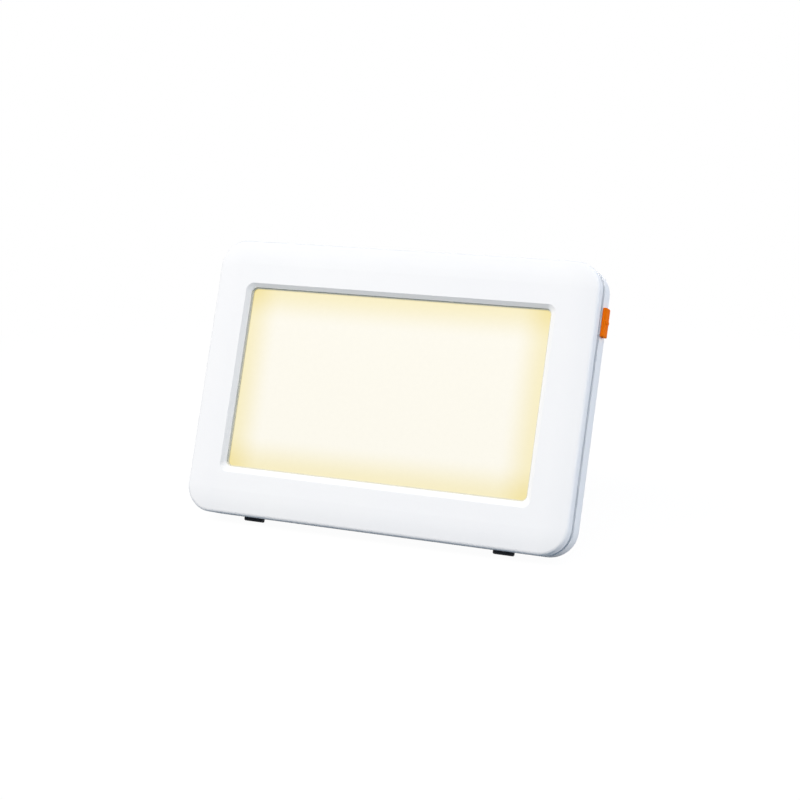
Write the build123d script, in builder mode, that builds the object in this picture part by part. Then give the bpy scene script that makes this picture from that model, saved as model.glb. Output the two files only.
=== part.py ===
"""Light therapy lamp: a flat tilted LED panel lamp with a side switch and a fold-out stand.

Millimetres, +Z up, the lit face looks towards -Y and leans back. The origin is on the table,
under the middle of the lamp as it stands with its stand open.

Most sizes are given in the lamp's own directions: across the face, up the face, and depth behind
the front plane of the face.
"""

from build123d import *
from math import cos, pi, radians, sin, sqrt, tan
import os

os.makedirs("parts", exist_ok=True)

# ---------------------------------------------------------------- driving dimensions

# Stance
lean = 20.0  # degrees that the face leans back from upright
stand_angle = 32.0  # degrees that the stand leg opens from its folded place
table_clearance = 0.62  # under the housing's lower back edge

# Housing
face_width = 200.0
face_height = 137.8
body_depth = 24.8
corner_radius = 13.5
front_edge_radius = 1.8
back_edge_radius = 8.0
crown_width = 12.0  # band along the face's edge that curves back
crown_drop = 1.3
crown_waste_margin = 1.0
wall = 2.2
plate = 2.8  # thickness of the front frame's face
seam_depth = 8.6  # rear rim of the front frame
seam_gap = 1.0
seam_slope_depth = 2.2  # slope of the front frame's outer edge down into the seam
seam_slope_inset = 0.75
lip_thickness = 1.0
lip_height = 2.6
lip_clearance = 0.15

# Window
side_border = 20.65
top_border = 23.5
window_radius = 3.0
window_shift = -1.2  # its centre beside the face's centre
window_rise = 0.05  # its centre above the face's centre
bevel_rise = -0.5
bevel_run = 2.4
bevel_radius = 4.0
bevel_depth = 1.8
gasket_inset = 0.65  # how far the gasket shows inside the window
gasket_thickness = 0.6
gasket_border = 3.2
panel_side_margin = 3.7
panel_top_margin = 3.4
panel_thickness = 2.0
film_thickness = 0.25
film_margin = 0.5

# Light box
mouth_margin = 1.3
tray_slope = 3.5
light_box_room = 9.4  # behind the light box's floor, to the rear cover's inside
tray_wall = 1.2
tray_flange_overhang = 0.7
tray_flange_rise = 2.5
tray_flange_thickness = 1.4
tray_ear_width = 10.0
tray_ear_rise = 3.5
tray_screw_inset = 18.8
led_board_margin = 1.5
led_board_thickness = 1.2
led_columns = 12
led_rows = 7
led_side_margin = 6.8
led_top_margin = 6.7
led_width = 3.5
led_height = 2.8
led_thickness = 0.7

# Housing screws
cover_screw_side = 13.0
cover_screw_top = 12.8
cover_post_depth = 13.6  # where the front and rear posts meet
cover_seat_depth = 17.8
front_post_radius = 3.6
rear_post_radius = 4.2
cover_bore_radius = 3.1
cover_screw_radius = 1.5
cover_screw_length = 10.8
cover_head_radius = 2.8
cover_head_height = 2.0

# Small screws
small_screw_radius = 1.0
small_head_radius = 2.1
small_head_height = 1.2
small_post_radius = 2.8
thread_clearance = 0.03
hole_clearance = 0.2

# Stand
hinge_rise = 16.0
hinge_depth = 21.9
barrel_radius = 2.8
leg_thickness = 3.0
leg_half_width = 27.5
leg_toe_half_width = 22.0
leg_shoulder = 8.0
toe_inset = 5.0  # from the toe to the housing's lower edge, leg folded
toe_length = 7.8
toe_ramp_length = 4.0
toe_thickness = 4.5
toe_corner_radius = 5.0
heel_length = 4.5
heel_thickness = 1.8
leg_side_gap = 0.6
leg_floor_gap = 0.4
leg_end_gap = 2.2
heel_end_gap = 1.3
heel_stop_gap = 0.1
recess_wall = 1.5
scoop_radius = 9.0
scoop_inset = 5.8
scoop_drop = 3.3
pin_radius = 1.0
pin_clearance = 0.05
pin_seat_length = 7.5
hinge_boss_length = 5.9
pin_overhang = 0.6
pin_chamfer = 0.2
washer_thickness = 0.5
washer_radius = 2.5
pad_half_width = 16.0
pad_thickness = 2.3
pad_seat = 2.7
pad_offset = 0.05

# Rubber feet
foot_inset = 33.7
foot_width = 10.2
foot_front_depth = 10.4
foot_back_depth = 16.6
foot_corner_radius = 2.5
foot_drop = 1.8  # below the housing, at its front
foot_seat = 1.0
foot_chamfer = 0.5
foot_gap = 0.1

# Slide switch
switch_top_inset = 28.53
switch_depth = 12.6
switch_travel = 4.0
knob_length = 13.8
knob_width = 5.8
knob_proud = 2.0
knob_gap = 0.15
knob_corner_radius = 0.8
knob_edge_radius = 0.4
ridge_length = 2.0
ridge_width = 4.4
ridge_height = 0.45
stem_length = 5.0
stem_width = 3.4
slot_end_gap = 0.3
slot_back_gap = 0.4
slider_length = 15.0
slider_width = 5.4
slider_thickness = 1.3
slider_gap = 0.3
slider_shift = 0.3
socket_length = 5.6
socket_width = 4.2
socket_reach = 3.6
socket_roof = 0.5
lever_length = 3.0
lever_width = 1.8
lever_height = 5.2
lever_clearance = 0.05
switch_length = 16.0
switch_width = 6.4
switch_height = 5.4
switch_plate = 0.4
switch_floor = 2.8
carriage_length = 6.8
carriage_width = 4.0
carriage_height = 2.3
carriage_gap = 0.1
switch_board_length = 22.0
switch_board_width = 10.5
switch_board_shift = 1.0
switch_board_thickness = 1.2
switch_inset = 14.8  # from the housing's side to the board that carries the switch
terminal_pitch = 4.7
terminal_width = 0.8
terminal_reach = 2.0
holder_length = 3.0
holder_wall = 1.2
holder_front_depth = 13.6
holder_groove = 1.2

# Driver board
driver_side_room = 22.0
driver_hinge_gap = 2.0
driver_drop = 29.0  # its centre below the stand's hinge
driver_height = 50.0
driver_thickness = 1.2
driver_stand = 1.5
driver_screw_inset = 4.0
driver_screw_length = 3.4
connector_height = 4.2
connector_width = 7.0
connector_length = 5.0
contact_pitch = 1.1
input_rise = 3.0
output_shift = -5.0
output_drop = 15.0
inductor_size = 10.0
inductor_height = 4.5
capacitor_radius = 3.15
capacitor_height = 5.0
capacitor_pitch = 7.5
chip_length = 6.0
chip_width = 5.0
chip_height = 1.6
diode_length = 4.6
diode_width = 2.6
diode_height = 2.2

# DC inlet
jack_side_inset = 13.5
jack_low_inset = 28.8
jack_radius = 4.0
jack_length = 11.0
jack_flange_radius = 5.2
jack_flange_thickness = 0.8
jack_recess = 1.0
jack_bore_radius = 2.85
jack_bore_length = 9.4
jack_pin_radius = 1.05
jack_pin_length = 8.4
jack_pin_base_radius = 1.6
jack_pin_chamfer = 0.3
jack_nut_width = 10.0
jack_nut_thickness = 2.0
jack_clearance = 0.1
lug_spread = 1.6
lug_width = 1.2
lug_thickness = 0.6
lug_length = 3.0

# Vents, rating field and leads
vent_inset = 48.0
vent_top_inset = 27.8
vent_length = 34.0
vent_width = 1.8
vent_pitch = 4.0
vent_count = 6
rating_inset = 38.0
rating_rise = -24.0
rating_width = 44.0
rating_height = 26.0
rating_depth = 0.3
lead_radius = 0.55
lead_drop = 11.0  # from the driver board's output to where the leads enter the light box
lead_hole_length = 6.0
lead_hole_width = 3.0

# ---------------------------------------------------------------- worked-out sizes and frames

half_width = face_width / 2
half_height = face_height / 2
inner_width = face_width - 2 * wall
inner_height = face_height - 2 * wall
inner_radius = corner_radius - wall
cover_rim_depth = seam_depth + seam_gap
inner_depth = body_depth - wall

window_width = face_width - 2 * side_border
window_height = face_height - 2 * top_border
bevel_width = window_width + 2 * bevel_run
bevel_height = window_height + 2 * bevel_run
panel_width = window_width + 2 * panel_side_margin
panel_height = window_height + 2 * panel_top_margin
panel_front_depth = plate + gasket_thickness
panel_back_depth = panel_front_depth + panel_thickness

tray_front_depth = panel_back_depth + film_thickness
tray_floor_depth = inner_depth - light_box_room
tray_back_depth = tray_floor_depth + tray_wall
tray_mouth_width = window_width + 2 * mouth_margin
tray_mouth_height = window_height + 2 * mouth_margin
tray_floor_width = tray_mouth_width - 2 * tray_slope
tray_floor_height = tray_mouth_height - 2 * tray_slope
tray_flange_width = panel_width + 2 * tray_flange_overhang
tray_flange_height = panel_height + 2 * tray_flange_rise
tray_screw_rise = tray_flange_height / 2 + tray_ear_rise
tray_screw_pitch = window_width / 2 - tray_screw_inset
led_board_width = tray_floor_width - 2 * led_board_margin
led_board_height = tray_floor_height - 2 * led_board_margin
led_pitch_x = (led_board_width - 2 * led_side_margin) / (led_columns - 1)
led_pitch_y = (led_board_height - 2 * led_top_margin) / (led_rows - 1)
led_screw_pitch_x = 5 * led_pitch_x
led_screw_rise = 2.5 * led_pitch_y

cover_screw_x = half_width - cover_screw_side
cover_screw_y = half_height - cover_screw_top
foot_x = half_width - foot_inset
foot_length = foot_back_depth - foot_front_depth
foot_middle_depth = (foot_front_depth + foot_back_depth) / 2
switch_rise = half_height - switch_top_inset
switch_board_face = half_width - switch_inset
knob_rise = switch_rise + switch_travel / 2
driver_inner_edge = leg_half_width + leg_side_gap + hinge_boss_length + driver_hinge_gap
driver_width = half_width - driver_side_room - driver_inner_edge
driver_x = driver_inner_edge + driver_width / 2
driver_y = hinge_rise - driver_drop
driver_back_depth = inner_depth - driver_stand
driver_front_depth = driver_back_depth - driver_thickness
jack_x = half_width - jack_side_inset
jack_y = jack_low_inset - half_height
vent_x = half_width - vent_inset
vent_y = half_height - vent_top_inset
rating_x = rating_inset - half_width

stand_lean = stand_angle - lean
leg_length = hinge_rise + half_height - toe_inset
toe_step = leg_length - toe_length
toe_ramp = toe_step - toe_ramp_length

# The housing's lower back edge is rounded, so its lowest point is under that round's centre.
face_centre_height = (
    (half_height - back_edge_radius) * cos(radians(lean))
    + (body_depth - back_edge_radius) * sin(radians(lean))
    + back_edge_radius
    + table_clearance
)

up = Vector(0, sin(radians(lean)), cos(radians(lean)))
out = Vector(0, -cos(radians(lean)), sin(radians(lean)))
across = Vector(1, 0, 0)
leg_up = Vector(0, -sin(radians(stand_lean)), cos(radians(stand_lean)))

# The crown is an arc from the flat of the face to its edge, and the edge's round is inside it.
crown_radius = (crown_width**2 + crown_drop**2) / (2 * crown_drop)
edge_round_depth = crown_radius - sqrt(
    (crown_radius - front_edge_radius) ** 2 - (crown_width - front_edge_radius) ** 2
)

# The toe's rounded outside reaches furthest back, and the face's lower edge furthest forward.
toe_round_radius = back_edge_radius - (body_depth - hinge_depth - barrel_radius)
toe_round_start = hinge_rise + half_height - back_edge_radius
toe_round_rise = toe_round_radius - barrel_radius
hinge_back = hinge_rise * sin(radians(lean)) + hinge_depth * cos(radians(lean))
back_reach = (
    hinge_back
    + toe_round_start * sin(radians(stand_lean))
    - toe_round_rise * cos(radians(stand_lean))
    + toe_round_radius
)
front_reach = (
    (half_height - front_edge_radius) * sin(radians(lean))
    - edge_round_depth * cos(radians(lean))
    + front_edge_radius
)
side_shift = -(knob_proud + ridge_height) / 2
back_shift = (front_reach - back_reach) / 2
face_centre = Vector(side_shift, back_shift, face_centre_height)
out_axis = Axis(face_centre, out)
down_axis = Axis(face_centre, -up)


def spot(x, y, depth):
    """A point given across the face, up the face and behind its front plane."""
    return face_centre + across * x + up * y - out * depth


def face_plane(depth, x=0.0, y=0.0):
    """A plane parallel to the face that looks out of it."""
    return Plane(origin=spot(x, y, depth), x_dir=across, z_dir=out)


def back_plane(depth, x=0.0, y=0.0):
    """A plane parallel to the face that looks out of the back; its y runs down the face."""
    return Plane(origin=spot(x, y, depth), x_dir=across, z_dir=-out)


def side_plane(x=0.0, y=0.0, depth=0.0):
    """A plane across the lamp that looks to +X; its x runs up the face, its y out of it."""
    return Plane(origin=spot(x, y, depth), x_dir=up, z_dir=across)


def under_plane(x):
    """The housing's underside at the middle of a foot; its x runs across, its y to the front."""
    return Plane(origin=spot(x, -half_height, foot_middle_depth), x_dir=across, z_dir=-up)


def corners(x, y):
    """The four points at plus and minus x and y."""
    return [(x, y), (-x, y), (-x, -y), (x, -y)]


def pan_screws(seat, places, head_radius, head_height, shank_radius, shank_length):
    """Pan-head screws with a cross recess: heads on the seat plane, shanks below it."""
    with BuildPart() as screws:
        with BuildSketch(seat):
            with Locations(*places):
                Circle(head_radius)
        extrude(amount=head_height)
        with BuildSketch(seat):
            with Locations(*places):
                Circle(shank_radius)
        extrude(amount=-shank_length)
        rims = screws.edges().filter_by(GeomType.CIRCLE)
        fillet(rims.group_by(Axis(seat.origin, seat.z_dir))[-1], head_height * 0.4)
        with BuildSketch(seat.offset(head_height)):
            with Locations(*places):
                Rectangle(head_radius * 1.1, head_radius * 0.3)
                Rectangle(head_radius * 0.3, head_radius * 1.1)
        extrude(amount=-head_height * 0.6, mode=Mode.SUBTRACT)
    return screws


def lead(points):
    """An insulated wire along straight runs joined by arcs as large as the runs allow."""
    route = [spot(*point) for point in points]
    radii = []
    for before, here, after in zip(route, route[1:], route[2:]):
        turn = (here - before).get_angle(after - here)
        run = min((here - before).length, (after - here).length)
        radii.append(0.45 * run / tan(radians(turn / 2)))
    print("lead arcs", [round(radius, 1) for radius in radii])
    with BuildPart() as wire:
        with BuildLine() as path:
            FilletPolyline(*route, radius=radii)
        with BuildSketch(Plane(origin=route[0], z_dir=route[1] - route[0])):
            Circle(lead_radius)
        sweep()
    full_volume = pi * lead_radius**2 * path.wires()[0].length
    print("volume against section times length", round(wire.part.volume / full_volume, 4))
    return wire


# ---------------------------------------------------------------- front frame

cover_screw_places = corners(cover_screw_x, cover_screw_y)
tray_screw_places = [
    (window_shift + column * tray_screw_pitch, window_rise + side * tray_screw_rise)
    for column in (-1, 0, 1)
    for side in (-1, 1)
]

# the face's edge is curved back by a cutter that follows its outline
with BuildSketch(face_plane(0)) as face_outline:
    RectangleRounded(face_width, face_height, corner_radius)
rim_path = face_outline.sketch.face().outer_wire()
rim_run = rim_path % 0

with BuildPart() as crown_waste:
    with BuildSketch(Plane(origin=rim_path @ 0, x_dir=out.cross(rim_run), z_dir=rim_run)):
        with BuildLine():
            inner_end = (crown_width, 0)
            outer_end = (0, -crown_drop)
            RadiusArc(inner_end, outer_end, -crown_radius)
            Polyline(
                outer_end,
                (-crown_waste_margin, -crown_drop),
                (-crown_waste_margin, crown_waste_margin),
                (crown_width, crown_waste_margin),
                inner_end,
            )
        make_face()
    sweep(path=rim_path)

with BuildPart() as front_frame:
    with BuildSketch(face_plane(seam_depth)):
        RectangleRounded(face_width, face_height, corner_radius)
    extrude(amount=seam_depth)
    add(crown_waste.part, mode=Mode.SUBTRACT)
    rim_edges = front_frame.edges().filter_by_position(out_axis, -crown_drop - 0.01, -crown_drop + 0.01)
    fillet(rim_edges, front_edge_radius)
    rear_rim = front_frame.faces().sort_by(out_axis)[0]
    chamfer(rear_rim.edges(), seam_slope_inset, seam_slope_depth, reference=rear_rim)
    with BuildSketch(face_plane(seam_depth)):
        RectangleRounded(inner_width, inner_height, inner_radius)
    extrude(amount=seam_depth - plate, mode=Mode.SUBTRACT)
    # the rebate inside the rim takes the rear cover's lip
    rebate = lip_thickness + lip_clearance
    with BuildSketch(face_plane(seam_depth)):
        RectangleRounded(inner_width + 2 * rebate, inner_height + 2 * rebate, inner_radius + rebate)
    extrude(amount=lip_height - seam_gap + lip_clearance, mode=Mode.SUBTRACT)
    # the window, with its bevel
    with BuildSketch(face_plane(bevel_depth, window_shift, window_rise)):
        RectangleRounded(window_width, window_height, window_radius)
    with BuildSketch(face_plane(0, window_shift, bevel_rise)):
        RectangleRounded(bevel_width, bevel_height, bevel_radius)
    loft(mode=Mode.SUBTRACT)
    with BuildSketch(face_plane(plate, window_shift, window_rise)):
        RectangleRounded(window_width, window_height, window_radius)
    extrude(amount=plate, mode=Mode.SUBTRACT)
    # a hooked tongue closes the mouth of the rear cover's switch notch
    tongue_end = switch_depth - stem_width / 2 - slot_back_gap
    tongue_start = seam_depth - lip_height
    tongue_length = stem_length + switch_travel + 2 * slot_end_gap - 2 * lip_clearance
    with BuildSketch(side_plane(inner_width / 2, switch_rise)):
        with Locations((0, -(tongue_start + tongue_end) / 2)):
            Rectangle(tongue_length, tongue_end - tongue_start)
    extrude(amount=lip_thickness)
    with BuildSketch(side_plane(half_width, switch_rise)):
        with Locations((0, -(cover_rim_depth + tongue_end) / 2)):
            Rectangle(tongue_length, tongue_end - cover_rim_depth)
    extrude(amount=lip_thickness - wall)
    # posts for the housing screws and for the light box
    with BuildSketch(face_plane(cover_post_depth)):
        with Locations(*cover_screw_places):
            Circle(front_post_radius)
            Circle(cover_screw_radius + thread_clearance, mode=Mode.SUBTRACT)
    extrude(amount=cover_post_depth - plate)
    with BuildSketch(face_plane(tray_front_depth)):
        with Locations(*tray_screw_places):
            Circle(small_post_radius)
            Circle(small_screw_radius + thread_clearance, mode=Mode.SUBTRACT)
    extrude(amount=tray_front_depth - plate)
front_frame.part.label = "front_frame"
export_step(front_frame.part, "parts/front_frame.step")

# ---------------------------------------------------------------- window and light box

with BuildPart() as window_gasket:
    with BuildSketch(face_plane(panel_front_depth, window_shift, window_rise)):
        RectangleRounded(
            window_width + 2 * gasket_border, window_height + 2 * gasket_border, bevel_radius
        )
        RectangleRounded(
            window_width - 2 * gasket_inset,
            window_height - 2 * gasket_inset,
            window_radius - gasket_inset,
            mode=Mode.SUBTRACT,
        )
    extrude(amount=gasket_thickness)
window_gasket.part.label = "window_gasket"
export_step(window_gasket.part, "parts/window_gasket.step")

with BuildPart() as diffuser_panel:
    with BuildSketch(face_plane(panel_back_depth, window_shift, window_rise)):
        RectangleRounded(panel_width, panel_height, window_radius)
    extrude(amount=panel_thickness)
diffuser_panel.part.label = "diffuser_panel"
export_step(diffuser_panel.part, "parts/diffuser_panel.step")

with BuildPart() as diffuser_film:
    with BuildSketch(face_plane(tray_front_depth, window_shift, window_rise)):
        Rectangle(panel_width - 2 * film_margin, panel_height - 2 * film_margin)
    extrude(amount=film_thickness)
diffuser_film.part.label = "diffuser_film"
export_step(diffuser_film.part, "parts/diffuser_film.step")

led_screw_places = [
    (column * led_screw_pitch_x, side * led_screw_rise) for column in (-1, 0, 1) for side in (-1, 1)
]
led_screw_length = led_board_thickness + tray_wall + 1.6
led_post_depth = tray_back_depth + 1.8
led_lead_x = driver_x + output_shift
led_lead_y = driver_y - output_drop - lead_drop

with BuildPart() as reflector_tray:
    with BuildSketch(face_plane(tray_back_depth, window_shift, window_rise)):
        Rectangle(tray_floor_width + 2 * tray_wall, tray_floor_height + 2 * tray_wall)
    with BuildSketch(face_plane(tray_front_depth, window_shift, window_rise)):
        Rectangle(tray_mouth_width + 2 * tray_wall, tray_mouth_height + 2 * tray_wall)
    loft()
    with BuildSketch(face_plane(tray_front_depth + tray_flange_thickness, window_shift, window_rise)):
        RectangleRounded(tray_flange_width, tray_flange_height, window_radius)
        with GridLocations(tray_screw_pitch, 0, 3, 1):
            RectangleRounded(tray_ear_width, 2 * (tray_screw_rise + small_post_radius), 2.0)
        Rectangle(tray_mouth_width, tray_mouth_height, mode=Mode.SUBTRACT)
    extrude(amount=tray_flange_thickness)
    with BuildSketch(face_plane(tray_floor_depth, window_shift, window_rise)):
        Rectangle(tray_floor_width, tray_floor_height)
    with BuildSketch(face_plane(tray_front_depth, window_shift, window_rise)):
        Rectangle(tray_mouth_width, tray_mouth_height)
    loft(mode=Mode.SUBTRACT)
    with BuildSketch(face_plane(led_post_depth, window_shift, window_rise)):
        with Locations(*led_screw_places):
            Circle(small_post_radius)
    extrude(amount=led_post_depth - tray_back_depth)
    with BuildSketch(face_plane(led_post_depth, window_shift, window_rise)):
        with Locations(*led_screw_places):
            Circle(small_screw_radius + thread_clearance)
    extrude(amount=led_post_depth - tray_floor_depth, mode=Mode.SUBTRACT)
    with BuildSketch(face_plane(tray_front_depth + tray_flange_thickness)):
        with Locations(*tray_screw_places):
            Circle(small_screw_radius + hole_clearance)
    extrude(amount=tray_flange_thickness, mode=Mode.SUBTRACT)
    # the leads to the LED board come through here
    with BuildSketch(face_plane(tray_back_depth, x=led_lead_x, y=led_lead_y)):
        SlotOverall(lead_hole_length, lead_hole_width)
    extrude(amount=tray_wall, mode=Mode.SUBTRACT)
reflector_tray.part.label = "reflector_tray"
export_step(reflector_tray.part, "parts/reflector_tray.step")

tray_screws = pan_screws(
    back_plane(tray_front_depth + tray_flange_thickness),
    [(x, -y) for x, y in tray_screw_places],
    small_head_radius,
    small_head_height,
    small_screw_radius,
    tray_flange_thickness + tray_front_depth - plate,
)
tray_screws.part.label = "tray_screws"
export_step(tray_screws.part, "parts/tray_screws.step")

with BuildPart() as led_board:
    with BuildSketch(face_plane(tray_floor_depth, window_shift, window_rise)):
        RectangleRounded(led_board_width, led_board_height, 1.5)
        with Locations(*led_screw_places):
            Circle(small_screw_radius + hole_clearance, mode=Mode.SUBTRACT)
    extrude(amount=led_board_thickness)
led_board.part.label = "led_board"
export_step(led_board.part, "parts/led_board.step")

led_board_front_depth = tray_floor_depth - led_board_thickness

with BuildPart() as led_packages:
    with BuildSketch(face_plane(led_board_front_depth, window_shift, window_rise)):
        with GridLocations(led_pitch_x, led_pitch_y, led_columns, led_rows):
            Rectangle(led_width, led_height)
    extrude(amount=led_thickness)
led_packages.part.label = "led_packages"
export_step(led_packages.part, "parts/led_packages.step")

led_board_screws = pan_screws(
    face_plane(led_board_front_depth, window_shift, window_rise),
    led_screw_places,
    small_head_radius,
    small_head_height,
    small_screw_radius,
    led_screw_length,
)
led_board_screws.part.label = "led_board_screws"
export_step(led_board_screws.part, "parts/led_board_screws.step")

# ---------------------------------------------------------------- rear cover

leg_outer = barrel_radius  # the leg's back is flush with its barrel
leg_inner = leg_thickness - leg_outer
toe_inner = toe_thickness - leg_outer
recess_end = leg_length + leg_end_gap
recess_top = heel_length + heel_end_gap
heel_swing = heel_length * sin(radians(stand_angle)) - (leg_outer - heel_thickness) * cos(
    radians(stand_angle)
)
driver_screw_x = driver_width / 2 - driver_screw_inset
driver_screw_y = driver_height / 2 - driver_screw_inset
driver_screw_places = corners(driver_screw_x, driver_screw_y)


def leg_plan(gap):
    """The leg seen from behind, hinge axis at y = 0 and toe down, grown by a gap all round."""
    with BuildSketch() as plan:
        with BuildLine():
            Polyline(
                (leg_half_width, heel_length),
                (-leg_half_width, heel_length),
                (-leg_half_width, -leg_shoulder),
                (-leg_toe_half_width, -leg_length),
                (leg_toe_half_width, -leg_length),
                (leg_half_width, -leg_shoulder),
                close=True,
            )
        make_face()
        toe_corners = plan.vertices().group_by(Axis.Y)[0]
        fillet(toe_corners, toe_corner_radius)
        if gap:
            offset(amount=gap, kind=Kind.INTERSECTION)
    return plan.sketch


def recess_form(margin, back):
    """The room that the leg folds into, grown by a margin, out to a plane behind the hinge."""
    with BuildPart() as form:
        with BuildSketch(side_plane(0, hinge_rise, hinge_depth)):
            with BuildLine():
                Polyline(
                    (recess_top + margin, -back),
                    (-recess_end - margin, -back),
                    (-recess_end - margin, toe_inner + leg_floor_gap + margin),
                    (-toe_ramp + 1.5 + margin, toe_inner + leg_floor_gap + margin),
                    (-toe_ramp + 1.5 + margin, leg_inner + leg_floor_gap + margin),
                    (-barrel_radius, leg_inner + leg_floor_gap + margin),
                    (-barrel_radius, heel_swing + heel_stop_gap + margin),
                    (recess_top + margin, heel_swing + heel_stop_gap + margin),
                    close=True,
                )
            make_face()
            Circle(barrel_radius + leg_floor_gap + margin)
        extrude(amount=half_width / 2, both=True)
        with BuildSketch(face_plane(body_depth + 1, y=hinge_rise)):
            add(leg_plan(leg_end_gap + margin))
            # parallel to the leg's sides, the room is closer than at its ends
            add(leg_sides(leg_side_gap + margin), mode=Mode.INTERSECT)
        extrude(amount=body_depth, mode=Mode.INTERSECT)
    return form.part


def leg_sides(gap):
    """The strip between the leg's two sides, grown by a gap and longer than the leg."""
    slope = (leg_half_width - leg_toe_half_width) / (leg_length - leg_shoulder)
    far = 3 * leg_shoulder
    with BuildSketch() as strip:
        with BuildLine():
            Polyline(
                (leg_half_width + gap, far),
                (-leg_half_width - gap, far),
                (-leg_half_width - gap, -leg_shoulder),
                (-leg_toe_half_width - gap + slope * far, -leg_length - far),
                (leg_toe_half_width + gap - slope * far, -leg_length - far),
                (leg_half_width + gap, -leg_shoulder),
                close=True,
            )
        make_face()
    return strip.sketch


with BuildPart() as cover_outside:
    with BuildSketch(face_plane(body_depth)):
        RectangleRounded(face_width, face_height, corner_radius)
    extrude(amount=body_depth - cover_rim_depth)
    fillet(cover_outside.edges().group_by(out_axis)[0], back_edge_radius)

with BuildPart() as cover_inside:
    with BuildSketch(face_plane(inner_depth)):
        RectangleRounded(inner_width, inner_height, inner_radius)
    extrude(amount=inner_depth - cover_rim_depth)
    fillet(cover_inside.edges().group_by(out_axis)[0], back_edge_radius - wall)

with BuildPart() as recess_tub:
    add(recess_form(recess_wall, body_depth - hinge_depth))
    with BuildSketch(side_plane(0, hinge_rise, hinge_depth)):
        Circle(barrel_radius)
    extrude(amount=leg_half_width + leg_side_gap + hinge_boss_length, both=True)
    add(cover_outside.part, mode=Mode.INTERSECT)

with BuildPart() as rear_cover:
    add(cover_outside.part)
    add(cover_inside.part, mode=Mode.SUBTRACT)
    # the lip that goes into the front frame's rim
    with BuildSketch(face_plane(cover_rim_depth)):
        RectangleRounded(
            inner_width + 2 * lip_thickness, inner_height + 2 * lip_thickness, inner_radius + lip_thickness
        )
        RectangleRounded(inner_width, inner_height, inner_radius, mode=Mode.SUBTRACT)
    extrude(amount=lip_height)
    # posts: housing screws, driver board and the two holders of the switch board
    with BuildSketch(face_plane(inner_depth)):
        with Locations(*cover_screw_places):
            Circle(rear_post_radius)
    extrude(amount=inner_depth - cover_post_depth)
    with BuildSketch(face_plane(inner_depth, driver_x, driver_y)):
        with Locations(*driver_screw_places):
            Circle(small_post_radius)
    extrude(amount=driver_stand)
    holder_x = switch_board_face - switch_board_thickness / 2
    holder_rise = switch_board_length / 2 + holder_length / 2 - holder_groove
    with BuildSketch(face_plane(inner_depth, holder_x, switch_rise)):
        with Locations((0, holder_rise), (0, -holder_rise)):
            Rectangle(switch_board_thickness + 2 * holder_wall, holder_length)
    extrude(amount=inner_depth - holder_front_depth)
    # the tub round the leg's recess, with the two hinge bosses
    add(recess_tub.part)
    add(recess_form(0, body_depth), mode=Mode.SUBTRACT)
    with BuildSketch(side_plane(0, hinge_rise, hinge_depth)):
        Circle(pin_radius + pin_clearance)
    extrude(amount=half_width / 2, both=True, mode=Mode.SUBTRACT)
    # finger scoop at the toe of the leg
    with BuildSketch(face_plane(body_depth, y=scoop_inset - half_height)):
        Circle(scoop_radius)
    extrude(amount=scoop_drop, mode=Mode.SUBTRACT)
    # screw holes with deep head bores
    with BuildSketch(face_plane(body_depth)):
        with Locations(*cover_screw_places):
            Circle(cover_bore_radius)
    extrude(amount=body_depth - cover_seat_depth, mode=Mode.SUBTRACT)
    with BuildSketch(face_plane(body_depth)):
        with Locations(*cover_screw_places):
            Circle(cover_screw_radius + hole_clearance)
    extrude(amount=body_depth - cover_post_depth, mode=Mode.SUBTRACT)
    with BuildSketch(face_plane(driver_back_depth + driver_screw_length, driver_x, driver_y)):
        with Locations(*driver_screw_places):
            Circle(small_screw_radius + thread_clearance)
    extrude(amount=driver_screw_length, mode=Mode.SUBTRACT)
    # grooves of the switch board holders
    board_gap = lever_clearance
    groove_depth = switch_depth + switch_board_shift + switch_board_width / 2 + board_gap
    with BuildSketch(face_plane(groove_depth, holder_x, switch_rise)):
        Rectangle(switch_board_thickness + 2 * board_gap, switch_board_length + 2 * board_gap)
    extrude(amount=groove_depth - cover_rim_depth, mode=Mode.SUBTRACT)
    # notch in the rim for the switch knob's stem
    notch_length = stem_length + switch_travel + 2 * slot_end_gap
    notch_back = switch_depth + stem_width / 2 + slot_back_gap
    with BuildSketch(side_plane(half_width + 1, switch_rise)):
        with Locations((0, -notch_back / 2)):
            Rectangle(notch_length, notch_back)
    extrude(amount=-wall - 2, mode=Mode.SUBTRACT)
    # pockets of the rubber feet
    for side in (-1, 1):
        with BuildSketch(under_plane(side * foot_x)):
            RectangleRounded(
                foot_width + 2 * foot_gap,
                foot_length + 2 * foot_gap,
                foot_corner_radius + foot_gap,
            )
        extrude(amount=-foot_seat, mode=Mode.SUBTRACT)
    # DC inlet: a round recess and a hole
    with BuildSketch(face_plane(body_depth, jack_x, jack_y)):
        Circle(jack_flange_radius + 2 * jack_clearance)
    extrude(amount=jack_recess, mode=Mode.SUBTRACT)
    with BuildSketch(face_plane(body_depth, jack_x, jack_y)):
        Circle(jack_radius + jack_clearance)
    extrude(amount=body_depth - inner_depth, mode=Mode.SUBTRACT)
    # two banks of vent slots
    for side in (-1, 1):
        with BuildSketch(face_plane(body_depth, side * vent_x, vent_y)):
            with GridLocations(0, vent_pitch, 1, vent_count):
                SlotOverall(vent_length, vent_width)
        extrude(amount=body_depth - inner_depth, mode=Mode.SUBTRACT)
    # bare field where a rating plate would sit
    with BuildSketch(face_plane(body_depth, rating_x, rating_rise)):
        RectangleRounded(rating_width, rating_height, 2.0)
    extrude(amount=rating_depth, mode=Mode.SUBTRACT)
rear_cover.part.label = "rear_cover"
export_step(rear_cover.part, "parts/rear_cover.step")

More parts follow.
